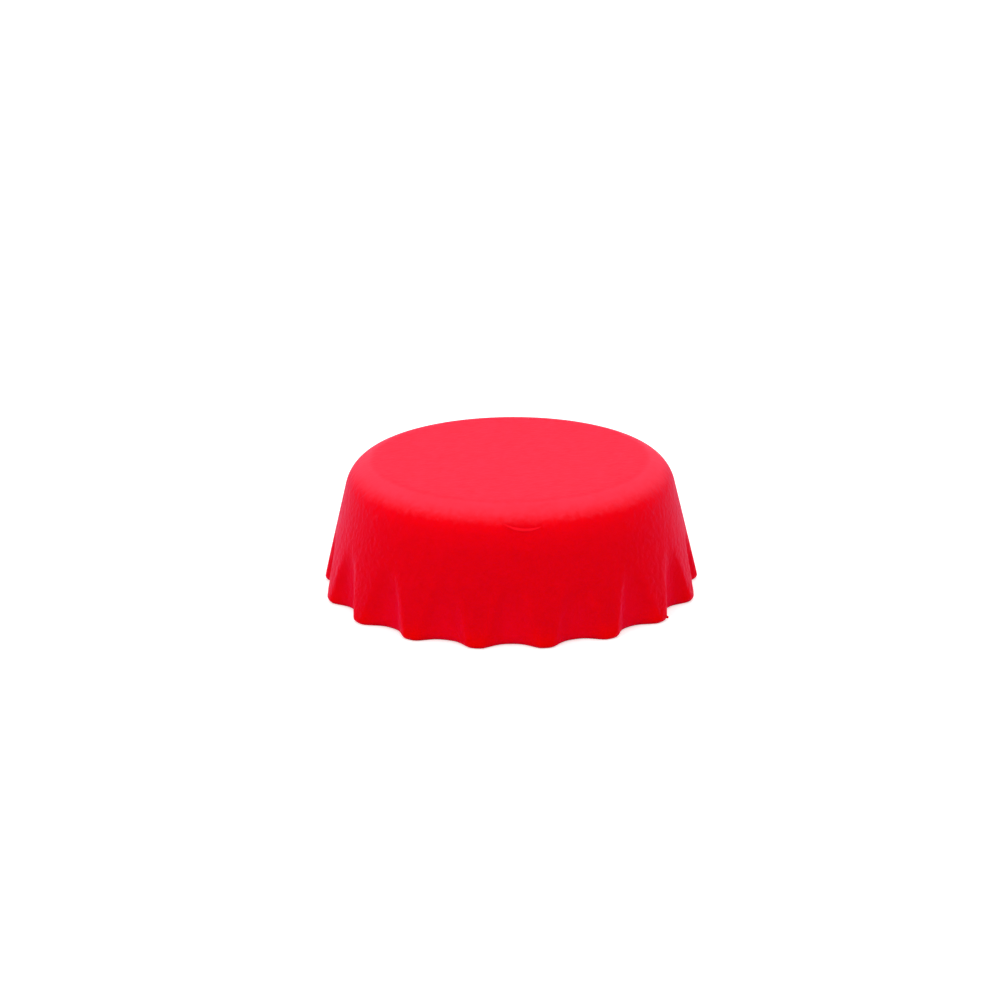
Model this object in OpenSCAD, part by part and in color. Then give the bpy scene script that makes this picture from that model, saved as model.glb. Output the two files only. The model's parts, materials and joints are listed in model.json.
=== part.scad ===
// Reusable crown-style bottle cap, moulded in one piece from soft silicone.
// A leaning bell with a flat top is scalloped by upright valleys, which cut deep
// at the rim and run out halfway up. Below, the cap is hollow: a grip ring inside
// the mouth snaps under the lip of a bottle, and the flat ceiling seals on it.
// The bottle's lip sets the hollow, and the outside follows the hollow.
// The origin is the centre of the rim, on the cap's axis, with the top up.

/* [Bottle] */
// Width of the bottle's lip, which the chamber holds
lip_d = 26.6; // [20:0.1:40]
// How much narrower the chamber is than the lip
lip_squeeze = 0.2; // [0:0.05:0.5]
// How far the lip stands out past the neck below it
lip_step = 0.6; // [0.4:0.05:1]
// How much narrower the hole in the grip ring is than the neck
neck_squeeze = 0.4; // [0.1:0.05:0.8]

/* [Hollow, from the rim upwards] */
// Height of the flared mouth
mouth_h = 2; // [1.2:0.1:3]
// How far the mouth flares out past the hole in the grip ring
mouth_flare = 1.3; // [0.8:0.1:1.6]
// Length of the straight hole through the grip ring
grip_land = 1.8; // [1:0.1:3]
// Height of the grip ring's rounded upper shoulder
shoulder_h = 0.8; // [0.6:0.1:1.2]
// Height of the chamber that holds the lip
chamber_h = 5; // [4:0.1:8]
// Radius of the edge between the chamber's wall and its ceiling
chamber_edge_r = 1; // [0.5:0.1:2]
// Thickness of the flat top
top_t = 2; // [1.4:0.1:3]

/* [Outside] */
// Width of the flat rim in a valley, from the mouth's edge outwards
rim_w = 1.4; // [1:0.1:2.5]
// How far outside the chamber the side would reach at the top if the top edge were sharp
top_overhang = 0.55; // [0.4:0.05:1.5]
// Radius of the rounded edge round the flat top
top_edge_r = 2.9; // [1.5:0.1:4]
// Radius of the outer edge of each crest at the rim
rim_edge_r = 0.3; // [0.1:0.1:0.6]

/* [Flutes] */
// Number of flutes round the rim
flute_count = 17; // [12:1:24]
// Depth of a flute at the rim, from crest to valley
flute_depth = 1.3; // [0.8:0.1:1.8]
// How much narrower the crests are than the valleys, 0 where they are alike
crest_pinch = 0.18; // [0:0.02:0.24]
// Points round each flute, for smoothness
flute_points = 16; // [10:2:20]

/* [Hidden] */
// Radii that follow from the sizes above, from the hollow outwards
chamber_r = (lip_d - lip_squeeze) / 2;
grip_r = (lip_d - neck_squeeze) / 2 - lip_step;
mouth_r = grip_r + mouth_flare;
valley_r = mouth_r + rim_w;
rim_r = valley_r + flute_depth;
top_r = chamber_r + top_overhang;
// Heights that follow, from the rim upwards
grip_top_z = mouth_h + grip_land;
ceiling_z = grip_top_z + shoulder_h + chamber_h;
height = ceiling_z + top_t;
// Lean of the side from upright, in degrees
side_lean = atan((rim_r - top_r) / height);
// Smoothness of the turned shapes, and how far the hollow runs out past the rim
turn_fn = 144;
arc_steps = 6;
cut = 1;

// Radius of the bell's straight side at height z
function side_r(z) = rim_r + (top_r - rim_r) * z / height;

// One flute's wave: 1 on the crest at 0 degrees, 0 in the valley at 180
function flute_wave(a) = (1 + cos(a) - crest_pinch * (1 - cos(2 * a))) / 2;

// Arc in the section, from one angle to another about a centre
function arc(r, z, radius, from, to) = [
    for (i = [0 : arc_steps])
        let (a = from + (to - from) * i / arc_steps)
            [r + radius * cos(a), z + radius * sin(a)]
];

// Rounded edge that runs into the side, where z is the height of its centre
function side_edge(z, radius, from, to) =
    arc(side_r(z + radius * sin(side_lean)) - radius * cos(side_lean), z, radius, from, to);

// Leaning bell: straight sides, a flat top and rounded edges
module bell() {
    rotate_extrude($fn = turn_fn)
        polygon(concat(
            [[0, 0]],
            side_edge(rim_edge_r, rim_edge_r, -90, side_lean),
            side_edge(height - top_edge_r, top_edge_r, side_lean, 90),
            [[0, height]]
        ));
}

// Upright scalloped block that the bell is cut to, with a crest on +Y
module scallops() {
    n = flute_count * flute_points;
    linear_extrude(height)
        polygon([
            for (i = [0 : n - 1])
                let (a = 360 * i / n, r = valley_r + flute_depth * flute_wave(flute_count * a))
                    [-r * sin(a), r * cos(a)]
        ]);
}

// Space inside: flared mouth, grip ring, chamber and flat ceiling
module hollow() {
    // Each rounded stretch leaves the grip ring's straight hole upright
    flare_turn = 2 * atan(mouth_flare / mouth_h);
    flare_r = mouth_h / sin(flare_turn);
    shoulder_turn = 2 * atan((chamber_r - grip_r) / shoulder_h);
    shoulder_r = shoulder_h / sin(shoulder_turn);
    rotate_extrude($fn = turn_fn)
        polygon(concat(
            [[0, -cut], [mouth_r, -cut]],
            arc(grip_r + flare_r, mouth_h, flare_r, 180 + flare_turn, 180),
            arc(grip_r + shoulder_r, grip_top_z, shoulder_r, 180, 180 - shoulder_turn),
            arc(chamber_r - chamber_edge_r, ceiling_z - chamber_edge_r, chamber_edge_r, 0, 90),
            [[0, ceiling_z]]
        ));
}

module cap() {
    color([0.86, 0.02, 0.1])
        difference() {
            intersection() {
                bell();
                scallops();
            }
            hollow();
        }
}

cap();
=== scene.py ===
import json
import math

import bmesh
import bpy
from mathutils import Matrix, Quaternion, Vector


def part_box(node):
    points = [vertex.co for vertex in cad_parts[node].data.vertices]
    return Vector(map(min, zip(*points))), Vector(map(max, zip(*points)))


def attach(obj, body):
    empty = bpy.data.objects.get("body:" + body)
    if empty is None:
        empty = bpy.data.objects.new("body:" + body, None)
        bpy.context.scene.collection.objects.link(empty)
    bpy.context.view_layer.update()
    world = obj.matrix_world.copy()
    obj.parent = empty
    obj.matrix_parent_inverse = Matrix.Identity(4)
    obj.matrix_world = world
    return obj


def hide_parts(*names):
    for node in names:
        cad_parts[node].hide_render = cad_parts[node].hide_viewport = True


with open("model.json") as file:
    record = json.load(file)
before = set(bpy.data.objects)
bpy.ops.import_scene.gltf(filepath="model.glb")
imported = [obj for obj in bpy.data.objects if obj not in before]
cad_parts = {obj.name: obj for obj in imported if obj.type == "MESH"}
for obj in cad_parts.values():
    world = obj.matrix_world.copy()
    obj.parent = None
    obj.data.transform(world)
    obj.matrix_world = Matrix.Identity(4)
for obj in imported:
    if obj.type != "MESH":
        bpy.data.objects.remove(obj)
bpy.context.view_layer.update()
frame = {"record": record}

# The cap: one moulding of soft red silicone, pressed in a two-part steel mould.
# A leaning bell with a flat top is scalloped by upright valleys, and the hollow
# below has a flared mouth, a grip ring and a chamber for the bottle's lip.
mm = 0.001
cap_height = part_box("cap")[1].z
cap_mounts = {mount["name"]: mount for mount in frame["record"]["mounts"]}
grip_r = cap_mounts["bottle_grip"]["dims"]["r_mm"] * mm

# The hollow, from the rim upwards, outwards from the hole in the grip ring
mouth_flare = 1.3 * mm
mouth_h = 2 * mm
grip_land = 1.8 * mm
shoulder_h = 0.8 * mm
chamber_step = 0.7 * mm
chamber_edge_r = 1 * mm
top_t = 2 * mm
mouth_r = grip_r + mouth_flare
chamber_r = grip_r + chamber_step
grip_top_z = mouth_h + grip_land
chamber_z = grip_top_z + shoulder_h
ceiling_z = cap_height - top_t

# The outside, outwards from the hollow
rim_w = 1.4 * mm
flute_depth = 1.3 * mm
top_overhang = 0.55 * mm
top_edge_r = 2.9 * mm
rim_edge_r = 0.36 * mm
valley_r = mouth_r + rim_w
rim_r = valley_r + flute_depth
top_r = chamber_r + top_overhang
side_lean = math.atan((rim_r - top_r) / cap_height)

# The flutes: how far they crowd, in radians of one flute's wave, and which way, how
# softly the crests meet the bell, and how much they stand out to make up for that
flute_count = 17
flute_points = 24
crest_pinch = 0.18
flute_crowding = 0.157
crowding_turn = -0.7
crest_softness = 0.25 * mm
crest_spare = 0.1 * mm

# How far from an edge the points lie that keep its shading off the flat faces
arc_hold = 0.05 * mm
ledge_hold = 0.04 * mm


def side_r(z):
    """Radius of the bell's straight side at height z."""
    return rim_r + (top_r - rim_r) * z / cap_height


def section_line(start, end, steps, follow=(0, 0)):
    """Evenly spaced [radius, height, how far it follows the flutes], without the end."""
    return [
        (
            start[0] + (end[0] - start[0]) * i / steps,
            start[1] + (end[1] - start[1]) * i / steps,
            follow[0] + (follow[1] - follow[0]) * i / steps,
        )
        for i in range(steps)
    ]


def section_arc(centre, radius, start, end, steps, follow=0, held=False):
    """Points round an arc from one angle to another, in degrees, with both ends.

    Where it is held, a further point lies just before and after it, on the lines that
    it runs into, so that its shading doesn't spread over the flat faces beside it.
    """
    turns = [math.radians(start + (end - start) * i / steps) for i in range(steps + 1)]
    points = [(radius * math.cos(t), radius * math.sin(t)) for t in turns]
    if held:
        hold = math.copysign(arc_hold / radius, end - start)
        (r0, z0), (r1, z1) = points[0], points[-1]
        points = [(r0 + z0 * hold, z0 - r0 * hold)] + points + [(r1 - z1 * hold, z1 + r1 * hold)]
    return [(centre[0] + r, centre[1] + z, follow) for r, z in points]


def side_edge_centre(z, radius):
    """Centre of a rounded edge that runs smoothly into the side."""
    return side_r(z + radius * math.sin(side_lean)) - radius * math.cos(side_lean), z


def cap_section():
    """Half section of the cap on a crest, from the top's middle round to the ceiling's."""
    lean = math.degrees(side_lean)
    top_edge = section_arc(
        side_edge_centre(cap_height - top_edge_r, top_edge_r), top_edge_r, 90, lean, 16, 1, True
    )
    rim_edge = section_arc(
        side_edge_centre(rim_edge_r, rim_edge_r), rim_edge_r, lean, -90, 8, 1, True
    )
    flare_turn = 2 * math.atan(mouth_flare / mouth_h)
    flare_r = mouth_h / math.sin(flare_turn)
    flare = section_arc(
        (grip_r + flare_r, mouth_h), flare_r, 180 + math.degrees(flare_turn), 180, 12
    )
    shoulder_turn = 2 * math.atan(chamber_step / shoulder_h)
    shoulder_r = shoulder_h / math.sin(shoulder_turn)
    shoulder = section_arc(
        (grip_r + shoulder_r, grip_top_z), shoulder_r, 180, 180 - math.degrees(shoulder_turn), 10
    )
    ceiling_edge = section_arc(
        (chamber_r - chamber_edge_r, ceiling_z - chamber_edge_r), chamber_edge_r, 0, 90, 8, 0, True
    )
    return (
        section_line((0, cap_height), top_edge[0], 8)
        + top_edge[:-1]
        + section_line(top_edge[-1], rim_edge[0], 48, (1, 1))
        + rim_edge[:-1]
        + section_line(rim_edge[-1], flare[0], 6, (1, 0))
        + flare[:-1]
        + section_line(flare[-1], shoulder[0], 3)
        + shoulder
        + section_line((chamber_r, chamber_z + ledge_hold), ceiling_edge[0], 4)
        + ceiling_edge
        + section_line(ceiling_edge[-1], (0, ceiling_z), 6)[1:]
        + [(0, ceiling_z, 0)]
    )


def calculate(tree, operation, *values):
    """A Math node, fed by sockets or numbers."""
    node = tree.nodes.new("ShaderNodeMath")
    node.operation = operation
    for socket, value in zip(node.inputs, values):
        if isinstance(value, bpy.types.NodeSocket):
            tree.links.new(value, socket)
        else:
            socket.default_value = value
    return node.outputs[0]


def whole(tree, operation, *values):
    """An Integer Math node, fed by sockets or whole numbers."""
    node = tree.nodes.new("FunctionNodeIntegerMath")
    node.operation = operation
    for socket, value in zip(node.inputs, values):
        if isinstance(value, bpy.types.NodeSocket):
            tree.links.new(value, socket)
        else:
            socket.default_value = value
    return node.outputs[0]


def section_value(tree, section, kind, field, row):
    """What the section holds at one of its points, for each point of the grid."""
    node = tree.nodes.new("GeometryNodeSampleIndex")
    node.data_type = kind
    node.domain = "POINT"
    tree.links.new(section, node.inputs["Geometry"])
    tree.links.new(field, node.inputs["Value"])
    tree.links.new(row, node.inputs["Index"])
    return node.outputs["Value"]


def fluted_bell_tree():
    """Turns the section about the axis and scallops what follows the flutes."""
    tree = bpy.data.node_groups.new("fluted bell", "GeometryNodeTree")
    face = tree.interface
    face.new_socket("Section", in_out="INPUT", socket_type="NodeSocketGeometry")
    face.new_socket("Flute count", in_out="INPUT", socket_type="NodeSocketInt")
    face.new_socket("Points per flute", in_out="INPUT", socket_type="NodeSocketInt")
    for name in ("Rim radius", "Top radius", "Height", "Valley radius"):
        face.new_socket(name, in_out="INPUT", socket_type="NodeSocketFloat")
    for name in ("Flute depth", "Crest pinch", "Crowding", "Crowding turn", "Softness"):
        face.new_socket(name, in_out="INPUT", socket_type="NodeSocketFloat")
    face.new_socket("Material", in_out="INPUT", socket_type="NodeSocketMaterial")
    face.new_socket("Cap", in_out="OUTPUT", socket_type="NodeSocketGeometry")
    given = tree.nodes.new("NodeGroupInput").outputs
    link = tree.links.new

    # A grid with a column for each step round the axis and a row for each section point
    size = tree.nodes.new("GeometryNodeAttributeDomainSize")
    link(given["Section"], size.inputs["Geometry"])
    rows = size.outputs["Point Count"]
    columns = whole(tree, "MULTIPLY", given["Flute count"], given["Points per flute"])
    grid = tree.nodes.new("GeometryNodeMeshGrid")
    link(whole(tree, "ADD", columns, 1), grid.inputs["Vertices X"])
    link(rows, grid.inputs["Vertices Y"])
    index = tree.nodes.new("GeometryNodeInputIndex").outputs[0]
    row = whole(tree, "MODULO", index, rows)
    column = whole(tree, "DIVIDE_FLOOR", index, rows)

    # Where the section has that row, and how far it follows the flutes
    position = tree.nodes.new("GeometryNodeInputPosition").outputs[0]
    place = tree.nodes.new("ShaderNodeSeparateXYZ")
    link(section_value(tree, given["Section"], "FLOAT_VECTOR", position, row), place.inputs[0])
    radius, height = place.outputs["X"], place.outputs["Z"]
    named = tree.nodes.new("GeometryNodeInputNamedAttribute")
    named.data_type = "FLOAT"
    named.inputs["Name"].default_value = "follow"
    follow = section_value(tree, given["Section"], "FLOAT", named.outputs["Attribute"], row)

    # One wave for each flute, with crests narrower than the valleys, and the flutes
    # crowded a little towards the front and the back, as they came out of the mould
    turn = calculate(tree, "DIVIDE", calculate(tree, "MULTIPLY", column, math.tau), columns)
    even_turn = calculate(tree, "MULTIPLY", turn, given["Flute count"])
    lobe_turn = calculate(tree, "MULTIPLY_ADD", turn, 2, given["Crowding turn"])
    lobes = calculate(tree, "SINE", lobe_turn)
    flute_turn = calculate(tree, "MULTIPLY_ADD", lobes, given["Crowding"], even_turn)
    double = calculate(tree, "COSINE", calculate(tree, "MULTIPLY", flute_turn, 2))
    pinch = calculate(
        tree, "MULTIPLY", given["Crest pinch"], calculate(tree, "SUBTRACT", 1, double)
    )
    swing = calculate(tree, "ADD", 1, calculate(tree, "COSINE", flute_turn))
    wave = calculate(tree, "DIVIDE", calculate(tree, "SUBTRACT", swing, pinch), 2)
    scallop = calculate(tree, "MULTIPLY_ADD", wave, given["Flute depth"], given["Valley radius"])

    # The side is the leaning bell, cut back to the upright scallops where they lie deeper
    fall = calculate(tree, "SUBTRACT", given["Top radius"], given["Rim radius"])
    share = calculate(tree, "DIVIDE", height, given["Height"])
    bell = calculate(tree, "MULTIPLY_ADD", fall, share, given["Rim radius"])
    side = calculate(tree, "SMOOTH_MIN", scallop, bell, given["Softness"])
    cut = calculate(tree, "MULTIPLY", calculate(tree, "SUBTRACT", side, bell), follow)
    out = calculate(tree, "ADD", radius, cut)
    at = tree.nodes.new("ShaderNodeCombineXYZ")
    left = calculate(tree, "MULTIPLY", calculate(tree, "SINE", turn), -1)
    link(calculate(tree, "MULTIPLY", out, left), at.inputs["X"])
    link(calculate(tree, "MULTIPLY", out, calculate(tree, "COSINE", turn)), at.inputs["Y"])
    link(height, at.inputs["Z"])
    moved = tree.nodes.new("GeometryNodeSetPosition")
    link(grid.outputs["Mesh"], moved.inputs["Geometry"])
    link(at.outputs[0], moved.inputs["Position"])

    # How deep each point lies in a flute, for the material
    noted = tree.nodes.new("GeometryNodeStoreNamedAttribute")
    noted.data_type = "FLOAT"
    noted.domain = "POINT"
    noted.inputs["Name"].default_value = "flute"
    link(moved.outputs["Geometry"], noted.inputs["Geometry"])
    inwards = calculate(tree, "MULTIPLY", given["Flute depth"], -1)
    link(calculate(tree, "DIVIDE", cut, inwards), noted.inputs["Value"])

    # Close the seam and the two poles, and finish
    weld = 0.002 * mm
    merged = tree.nodes.new("GeometryNodeMergeByDistance")
    merged.inputs["Distance"].default_value = weld
    link(noted.outputs["Geometry"], merged.inputs["Geometry"])
    smooth = tree.nodes.new("GeometryNodeSetShadeSmooth")
    link(merged.outputs["Geometry"], smooth.inputs["Geometry"])
    real = tree.nodes.new("GeometryNodeRealizeInstances")
    link(smooth.outputs["Geometry"], real.inputs["Geometry"])
    painted = tree.nodes.new("GeometryNodeSetMaterial")
    link(real.outputs["Geometry"], painted.inputs["Geometry"])
    link(given["Material"], painted.inputs["Material"])
    link(painted.outputs["Geometry"], tree.nodes.new("NodeGroupOutput").inputs["Cap"])
    return tree


def grown(name, start, tree, values):
    """A new plain mesh piece: what the tree makes of the start mesh."""
    seed = bpy.data.objects.new(name + " seed", start)
    bpy.context.scene.collection.objects.link(seed)
    modifier = seed.modifiers.new(name, "NODES")
    modifier.node_group = tree
    sockets = {
        item.name: item.identifier
        for item in tree.interface.items_tree
        if item.in_out == "INPUT"
    }
    for socket, value in values.items():
        modifier[sockets[socket]] = value
    made = bpy.data.meshes.new_from_object(
        seed.evaluated_get(bpy.context.evaluated_depsgraph_get())
    )
    seed.modifiers.remove(modifier)
    bpy.data.objects.remove(seed)
    piece = bpy.data.objects.new(name, made)
    bpy.context.scene.collection.objects.link(piece)
    return piece


def face_outwards(piece):
    """Makes every face of a closed piece look away from its inside."""
    mesh = bmesh.new()
    mesh.from_mesh(piece.data)
    bmesh.ops.recalc_face_normals(mesh, faces=mesh.faces)
    mesh.to_mesh(piece.data)
    mesh.free()


def blend(tree, share, first, second):
    """One colour laid over another, by share."""
    node = tree.nodes.new("ShaderNodeMix")
    node.data_type = "RGBA"
    tree.links.new(share, node.inputs[0])
    for socket, colour in ((node.inputs[6], first), (node.inputs[7], second)):
        if isinstance(colour, bpy.types.NodeSocket):
            tree.links.new(colour, socket)
        else:
            socket.default_value = colour
    return node.outputs[2]


def ramp(tree, value, low, high, kind="SMOOTHSTEP"):
    """0 below one value and 1 above another, with a change between them."""
    node = tree.nodes.new("ShaderNodeMapRange")
    node.interpolation_type = kind
    tree.links.new(value, node.inputs["Value"])
    node.inputs["From Min"].default_value = low
    node.inputs["From Max"].default_value = high
    return node.outputs["Result"]


# The painted highlight on the top: the heights where it begins and is full, how ragged the
# grain makes its edge, and how far below the flat top it is at its full strength
highlight_low = cap_height - 1.63 * mm
highlight_high = cap_height - 0.3 * mm
highlight_raggedness = 0.7 * mm
flat_edge = 0.12 * mm


def silicone_grain_group():
    """Shader group: the grain that the mould leaves, and the pigment's unevenness."""
    group = bpy.data.node_groups.new("silicone grain", "ShaderNodeTree")
    group.interface.new_socket("Place", in_out="INPUT", socket_type="NodeSocketVector")
    for name in ("Grain", "Mottle", "Drift"):
        group.interface.new_socket(name, in_out="OUTPUT", socket_type="NodeSocketFloat")
    place = group.nodes.new("NodeGroupInput").outputs["Place"]
    unevenness = {}
    for name, size, detail in (
        ("Grain", 0.5 * mm, 2),
        ("Mottle", 0.9 * mm, 1),
        ("Drift", 9 * mm, 1),
    ):
        noise = group.nodes.new("ShaderNodeTexNoise")
        group.links.new(place, noise.inputs["Vector"])
        noise.inputs["Scale"].default_value = 1 / size
        noise.inputs["Detail"].default_value = detail
        unevenness[name] = noise.outputs["Fac"]

    # The end of the mould is smoother, so the grain is shallower on the top
    top_smoothness = 0.6
    apart = group.nodes.new("ShaderNodeSeparateXYZ")
    group.links.new(place, apart.inputs[0])
    top = ramp(group, apart.outputs["Z"], highlight_low, highlight_high)
    depth = calculate(group, "MULTIPLY_ADD", top, -top_smoothness, 1)
    centred = calculate(group, "SUBTRACT", unevenness["Grain"], 0.5)
    unevenness["Grain"] = calculate(group, "MULTIPLY", centred, depth)
    result = group.nodes.new("NodeGroupOutput")
    for name, value in unevenness.items():
        group.links.new(value, result.inputs[name])
    return group


def silicone(name, soak):
    """Soft matte silicone with its grain; soak is how much light goes in under the skin."""
    grain_depth = 0.125 * mm
    roughness, grain_roughness = 0.58, 0.16
    material = bpy.data.materials.new(name)
    material.use_nodes = True
    tree = material.node_tree
    skin = tree.nodes["Principled BSDF"]
    skin.inputs["IOR"].default_value = 1.41
    skin.inputs["Specular IOR Level"].default_value = 0.01
    skin.inputs["Subsurface Weight"].default_value = soak
    skin.inputs["Subsurface Radius"].default_value = (1, 0.1, 0.1)
    skin.inputs["Subsurface Scale"].default_value = 1.5 * mm
    skin.inputs["Sheen Weight"].default_value = 0.06
    skin.inputs["Sheen Roughness"].default_value = 0.3
    skin.inputs["Sheen Tint"].default_value = (1, 0.55, 1, 1)
    place = tree.nodes.new("ShaderNodeTexCoord").outputs["Object"]
    grain = tree.nodes.new("ShaderNodeGroup")
    grain.node_tree = silicone_grain
    tree.links.new(place, grain.inputs["Place"])
    rough = calculate(
        tree, "MULTIPLY_ADD", grain.outputs["Grain"], grain_roughness, roughness
    )
    tree.links.new(rough, skin.inputs["Roughness"])
    bump = tree.nodes.new("ShaderNodeBump")
    bump.inputs["Strength"].default_value = 1
    bump.inputs["Distance"].default_value = grain_depth
    tree.links.new(grain.outputs["Grain"], bump.inputs["Height"])
    tree.links.new(bump.outputs["Normal"], skin.inputs["Normal"])
    return material, grain.outputs, place, bump.outputs["Normal"]


def cap_silicone():
    """The cap's red: uneven pigment with painted light, a painted sheen and a painted top
    highlight.
    """
    deep_red = (0.63, 0.0003, 0.0064, 1)
    light_red = (0.87, 0.0003, 0.0064, 1)
    rim_lit_red = (0.78, 0.0002, 0.0003, 1)
    flute_lit_red = (0.82, 0.0006, 0.0125, 1)
    painted_cool_sheen = (0.76, 0.0004, 0.021, 1)
    painted_pale_sheen = (0.74, 0.0208, 0.056, 1)
    painted_top_highlight = (0.87, 0.0315, 0.064, 1)
    material, uneven, place, surface = silicone("red silicone", 0.8)
    tree = material.node_tree
    nodes, link = tree.nodes, tree.links.new
    apart = nodes.new("ShaderNodeSeparateXYZ")
    link(place, apart.inputs[0])
    height = apart.outputs["Z"]

    # Pigment that isn't quite even, and painted light that makes it lighter towards the top
    light_low, light_high = 7.1 * mm, 10.5 * mm
    drift_share, mottle_share = 0.2, 0.3
    risen_share, near_top_share = 0.2, 0.4
    drift = calculate(tree, "MULTIPLY", uneven["Drift"], drift_share)
    mixed = calculate(tree, "MULTIPLY_ADD", uneven["Mottle"], mottle_share, drift)
    painted_light_rising = ramp(tree, height, 0, cap_height)
    lighter = calculate(tree, "MULTIPLY_ADD", painted_light_rising, risen_share, mixed)
    painted_light_near_top = ramp(tree, height, light_low, light_high)
    tone_and_painted_light = calculate(tree, "MULTIPLY_ADD", painted_light_near_top, near_top_share, lighter)
    pigment = blend(tree, tone_and_painted_light, deep_red, light_red)

    # Painted light: purer and lighter at the rim, lifting the shade where it meets the floor
    rim_light_h = 2 * mm
    above_rim = ramp(tree, height, 0, rim_light_h)
    pigment = blend(tree, above_rim, rim_lit_red, pigment)

    # Painted light in the flutes: lighter and bluer with depth, lifting the shade of the valleys
    flute = nodes.new("ShaderNodeAttribute")
    flute.attribute_name = "flute"
    depth = flute.outputs["Fac"]
    flute_lit = blend(tree, depth, pigment, flute_lit_red)

    # A painted sheen, mixed into the base colour where the side turns away from the view, cool at
    # first and then pale. It is painted weaker down in the flutes and on the top
    sheen_low, sheen_high, sheen_power = 0.27, 0.9, 2.05
    flute_dulling, top_dulling = 4.4, 0.8
    layer = nodes.new("ShaderNodeLayerWeight")
    link(surface, layer.inputs["Normal"])
    turning = ramp(tree, layer.outputs["Facing"], sheen_low, sheen_high, "LINEAR")
    cool = blend(tree, turning, flute_lit, painted_cool_sheen)
    ragged = calculate(tree, "MULTIPLY_ADD", uneven["Grain"], highlight_raggedness, height)
    highlight_cover = ramp(tree, ragged, highlight_low, highlight_high)
    covered = calculate(tree, "MULTIPLY", highlight_cover, top_dulling)
    dulled = calculate(tree, "MULTIPLY_ADD", depth, flute_dulling, covered)
    kept = calculate(tree, "MAXIMUM", calculate(tree, "SUBTRACT", 1, dulled), 0)
    away = calculate(tree, "POWER", turning, sheen_power)
    sheen = calculate(tree, "MULTIPLY", away, kept)
    sheened = blend(tree, sheen, cool, painted_pale_sheen)

    # A painted highlight on the top, blotched by the grain, which runs out over its edge
    least_highlight, flat_highlight_drop = 0.83, 0.4
    blotches, speckles = 0.34, 0.45
    blotched = calculate(tree, "MULTIPLY_ADD", uneven["Mottle"], blotches, least_highlight)
    speckled = calculate(tree, "MULTIPLY_ADD", uneven["Grain"], speckles, blotched)
    flat = ramp(tree, height, cap_height - flat_edge, cap_height)
    highlight_share = calculate(tree, "MULTIPLY_ADD", flat, -flat_highlight_drop, speckled)
    top_highlight = calculate(tree, "MULTIPLY", highlight_cover, highlight_share)
    skin = nodes["Principled BSDF"]
    link(blend(tree, top_highlight, sheened, painted_top_highlight), skin.inputs["Base Color"])
    return material


section = cap_section()
outline = bpy.data.meshes.new("cap section")
outline.from_pydata([(r, 0, z) for r, z, _ in section], [], [])
outline.attributes.new("follow", "FLOAT", "POINT").data.foreach_set(
    "value", [follow for _, _, follow in section]
)
silicone_grain = silicone_grain_group()
red_silicone = cap_silicone()
cap = grown(
    "bottle_cap",
    outline,
    fluted_bell_tree(),
    {
        "Flute count": flute_count,
        "Points per flute": flute_points,
        "Rim radius": rim_r,
        "Top radius": top_r,
        "Height": cap_height,
        "Valley radius": valley_r,
        "Flute depth": flute_depth + crest_spare,
        "Crest pinch": crest_pinch,
        "Crowding": flute_crowding,
        "Crowding turn": crowding_turn,
        "Softness": crest_softness,
        "Material": red_silicone,
    },
)
face_outwards(cap)
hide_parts("cap")
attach(cap, "root")

# The mould mark: a faint raised crescent low on the rounded edge of the top, moulded
# in one with the cap, with a painted highlight that makes it a little paler along its back.
mark_half_width = 0.12 * mm
mark_height = 0.04 * mm
mark_steps = 40
mark_sides = 12
# The mark's colours are a painted highlight, paler than the cap around it
mark_dark = (0.88, 0.003, 0.01, 1)
mark_light = (0.96, 0.006, 0.019, 1)

# Its ends and its lowest point, in degrees round the cap, how far it is tilted from the
# axis there, in degrees too, and how fast it climbs to both sides
mark_ends = (-92.2, -79.0)
mark_lowest = -84.1
mark_tilt = 67.6
mark_curl = 0.168
edge_centre_r, edge_centre_z = side_edge_centre(cap_height - top_edge_r, top_edge_r)


def mark_spine(degrees):
    """Point on the top edge under the mark, and the way its surface faces there."""
    turn = math.radians(degrees)
    tilt = math.radians(mark_tilt - mark_curl * (degrees - mark_lowest) ** 2)
    facing = Vector(
        (math.sin(tilt) * math.cos(turn), math.sin(tilt) * math.sin(turn), math.cos(tilt))
    )
    middle = Vector(
        (edge_centre_r * math.cos(turn), edge_centre_r * math.sin(turn), edge_centre_z)
    )
    return middle + facing * top_edge_r, facing


mark_span = mark_ends[1] - mark_ends[0]
mark_ahead = 0.01
mark_points = [mark_spine(mark_ends[0])[0]]
for i in range(1, mark_steps):
    share = i / mark_steps
    degrees = mark_ends[0] + mark_span * share
    spine, facing = mark_spine(degrees)
    ahead = mark_spine(degrees + mark_ahead)[0] - spine
    across = facing.cross(ahead).normalized()
    swell = math.sqrt(math.sin(math.pi * share))
    for k in range(mark_sides):
        round_turn = math.tau * k / mark_sides
        mark_points.append(
            spine
            + across * (math.cos(round_turn) * mark_half_width * swell)
            + facing * (math.sin(round_turn) * mark_height * swell)
        )
mark_points.append(mark_spine(mark_ends[1])[0])
mark_last = len(mark_points) - 1
mark_faces = []
for k in range(mark_sides):
    beside = (k + 1) % mark_sides
    mark_faces.append((0, 1 + k, 1 + beside))
    mark_faces.append((mark_last, mark_last - mark_sides + beside, mark_last - mark_sides + k))
    for i in range(mark_steps - 2):
        ring = 1 + i * mark_sides
        mark_faces.append(
            (ring + k, ring + mark_sides + k, ring + mark_sides + beside, ring + beside)
        )
mark_mesh = bpy.data.meshes.new("mould_mark")
mark_mesh.from_pydata([tuple(point) for point in mark_points], [], mark_faces)
mark_highlight_silicone, mark_highlight_uneven = silicone("highlit silicone", 0)[:2]
mark_highlight_tree = mark_highlight_silicone.node_tree
mark_highlight_tree.links.new(
    blend(mark_highlight_tree, mark_highlight_uneven["Mottle"], mark_dark, mark_light),
    mark_highlight_tree.nodes["Principled BSDF"].inputs["Base Color"],
)
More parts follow.
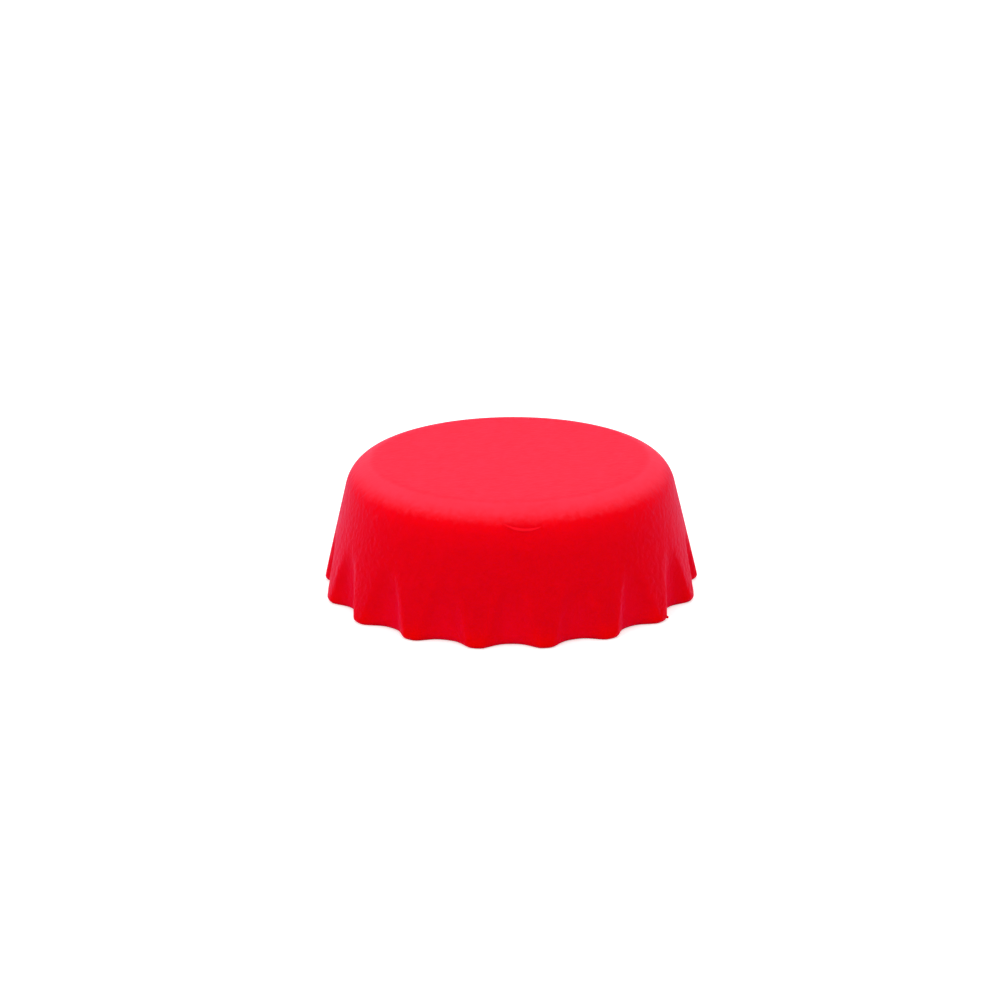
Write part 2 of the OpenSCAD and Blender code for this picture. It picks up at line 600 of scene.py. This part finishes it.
mark_mesh.materials.append(mark_highlight_silicone)
mark_mesh.shade_smooth()
mark = bpy.data.objects.new("mould_mark", mark_mesh)
bpy.context.scene.collection.objects.link(mark)
face_outwards(mark)
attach(mark, "root")

# The flash: a tiny tag of silicone on the flank of one crest near the rim, squeezed
# out between the halves of the mould and left when the cap was trimmed.
flash_turn = math.radians(-35.4)
flash_r = 16.36 * mm
flash_z = 0.32 * mm
flash_radii = Vector((0.12 * mm, 0.1 * mm, 0.12 * mm))
flash_middle = Vector(
    (flash_r * math.cos(flash_turn), flash_r * math.sin(flash_turn), flash_z)
)
flash_shape = bmesh.new()
bmesh.ops.create_uvsphere(flash_shape, u_segments=16, v_segments=10, radius=1)
for corner in flash_shape.verts:
    corner.co = flash_middle + corner.co * flash_radii
flash_mesh = bpy.data.meshes.new("flash")
flash_shape.to_mesh(flash_mesh)
flash_shape.free()
flash_mesh.materials.append(red_silicone)
flash_mesh.shade_smooth()
flash = bpy.data.objects.new("flash", flash_mesh)
bpy.context.scene.collection.objects.link(flash)
face_outwards(flash)
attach(flash, "root")

# The floor: a wide matt white table that the cap stands on, mouth down.
# It is only the stage, not part of the object.
floor_half = 2.0
floor_mesh = bpy.data.meshes.new("floor")
floor_mesh.from_pydata(
    [
        (-floor_half, -floor_half, 0),
        (floor_half, -floor_half, 0),
        (floor_half, floor_half, 0),
        (-floor_half, floor_half, 0),
    ],
    [],
    [(0, 1, 2, 3)],
)
floor = bpy.data.objects.new("floor", floor_mesh)
bpy.context.scene.collection.objects.link(floor)


def seen_as_backdrop(tree):
    """1 for what the camera sees, straight or by reflection or through glass, else 0."""
    ray = tree.nodes.new("ShaderNodeLightPath").outputs
    mirrored = calculate(tree, "MAXIMUM", ray["Is Glossy Ray"], ray["Is Transmission Ray"])
    return calculate(tree, "MAXIMUM", ray["Is Camera Ray"], mirrored)


backdrop_lift = 0.5
floor_paint = bpy.data.materials.new("matt white table")
floor_paint.use_nodes = True
floor_skin = floor_paint.node_tree.nodes["Principled BSDF"]
floor_skin.inputs["Base Color"].default_value = (0.8, 0.8, 0.8, 1)
floor_skin.inputs["Roughness"].default_value = 0.9
floor_skin.inputs["Specular IOR Level"].default_value = 0
floor_skin.inputs["Emission Color"].default_value = (1, 1, 1, 1)
floor_lift = calculate(
    floor_paint.node_tree, "MULTIPLY", seen_as_backdrop(floor_paint.node_tree), backdrop_lift
)
floor_paint.node_tree.links.new(floor_lift, floor_skin.inputs["Emission Strength"])
floor_mesh.materials.append(floor_paint)

# The light: an even pale sky all round, a wide soft lamp overhead and two weaker
# ones in front, the left clearly the brighter. The camera sees the sky as white.
world = bpy.data.worlds.new("studio")
bpy.context.scene.world = world
world.use_nodes = True
sky = world.node_tree.nodes["Background"]
sky.inputs["Color"].default_value = (1, 1, 1, 1)
sky_light = 0.78
sky_strength = calculate(
    world.node_tree, "MULTIPLY_ADD", seen_as_backdrop(world.node_tree), 1 - sky_light, sky_light
)
world.node_tree.links.new(sky_strength, sky.inputs["Strength"])

for name, place, width, watts in (
    ("overhead lamp", (-0.03, 0.03, 0.45), 0.4, 0.8),
    ("left softbox", (-0.34, -0.4, 0.28), 0.3, 0.5),
    ("right softbox", (0.34, -0.4, 0.28), 0.3, 0.22),
):
    lamp_data = bpy.data.lights.new(name, "AREA")
    lamp_data.shape = "DISK"
    lamp_data.size = width
    lamp_data.energy = watts
    lamp = bpy.data.objects.new(name, lamp_data)
    lamp.location = place
    lamp.rotation_euler = Vector(place).to_track_quat("Z", "Y").to_euler()
    lamp.visible_camera = False
    bpy.context.scene.collection.objects.link(lamp)

# The camera: as the photograph was taken, from the front and a little above.
# It aims just above and beside the cap's middle, which sits low in the frame.
camera_distance = 0.294
camera_height_angle = math.radians(19.093)
camera_side_angle = math.radians(0.445)
camera_roll = math.radians(0.45)
cap_middle = Vector((0, 0, 5 * mm))
cap_middle_pixel = (510.6, 529.4)
frame_pixels = 1000
pixels_per_metre = 11460
camera_data = bpy.data.cameras.new("camera")
camera_data.sensor_width = 36
camera_data.lens = (
    camera_data.sensor_width * pixels_per_metre * camera_distance / frame_pixels
)
camera = bpy.data.objects.new("camera", camera_data)
bpy.context.scene.collection.objects.link(camera)
back = Vector(
    (
        math.sin(camera_side_angle) * math.cos(camera_height_angle),
        -math.cos(camera_side_angle) * math.cos(camera_height_angle),
        math.sin(camera_height_angle),
    )
)
camera.location = cap_middle + back * camera_distance
level = (-back).to_track_quat("-Z", "Y") @ Quaternion((0, 0, 1), -camera_roll)
reach = pixels_per_metre * camera_distance
aside = math.atan((cap_middle_pixel[0] - frame_pixels / 2) / reach)
below = math.atan((cap_middle_pixel[1] - frame_pixels / 2) / reach)
camera.rotation_mode = "QUATERNION"
camera.rotation_quaternion = (
    level @ Quaternion((0, 1, 0), aside) @ Quaternion((1, 0, 0), below)
)
bpy.context.scene.camera = camera
bpy.context.scene.view_settings.view_transform = "Standard"

bpy.context.view_layer.update()
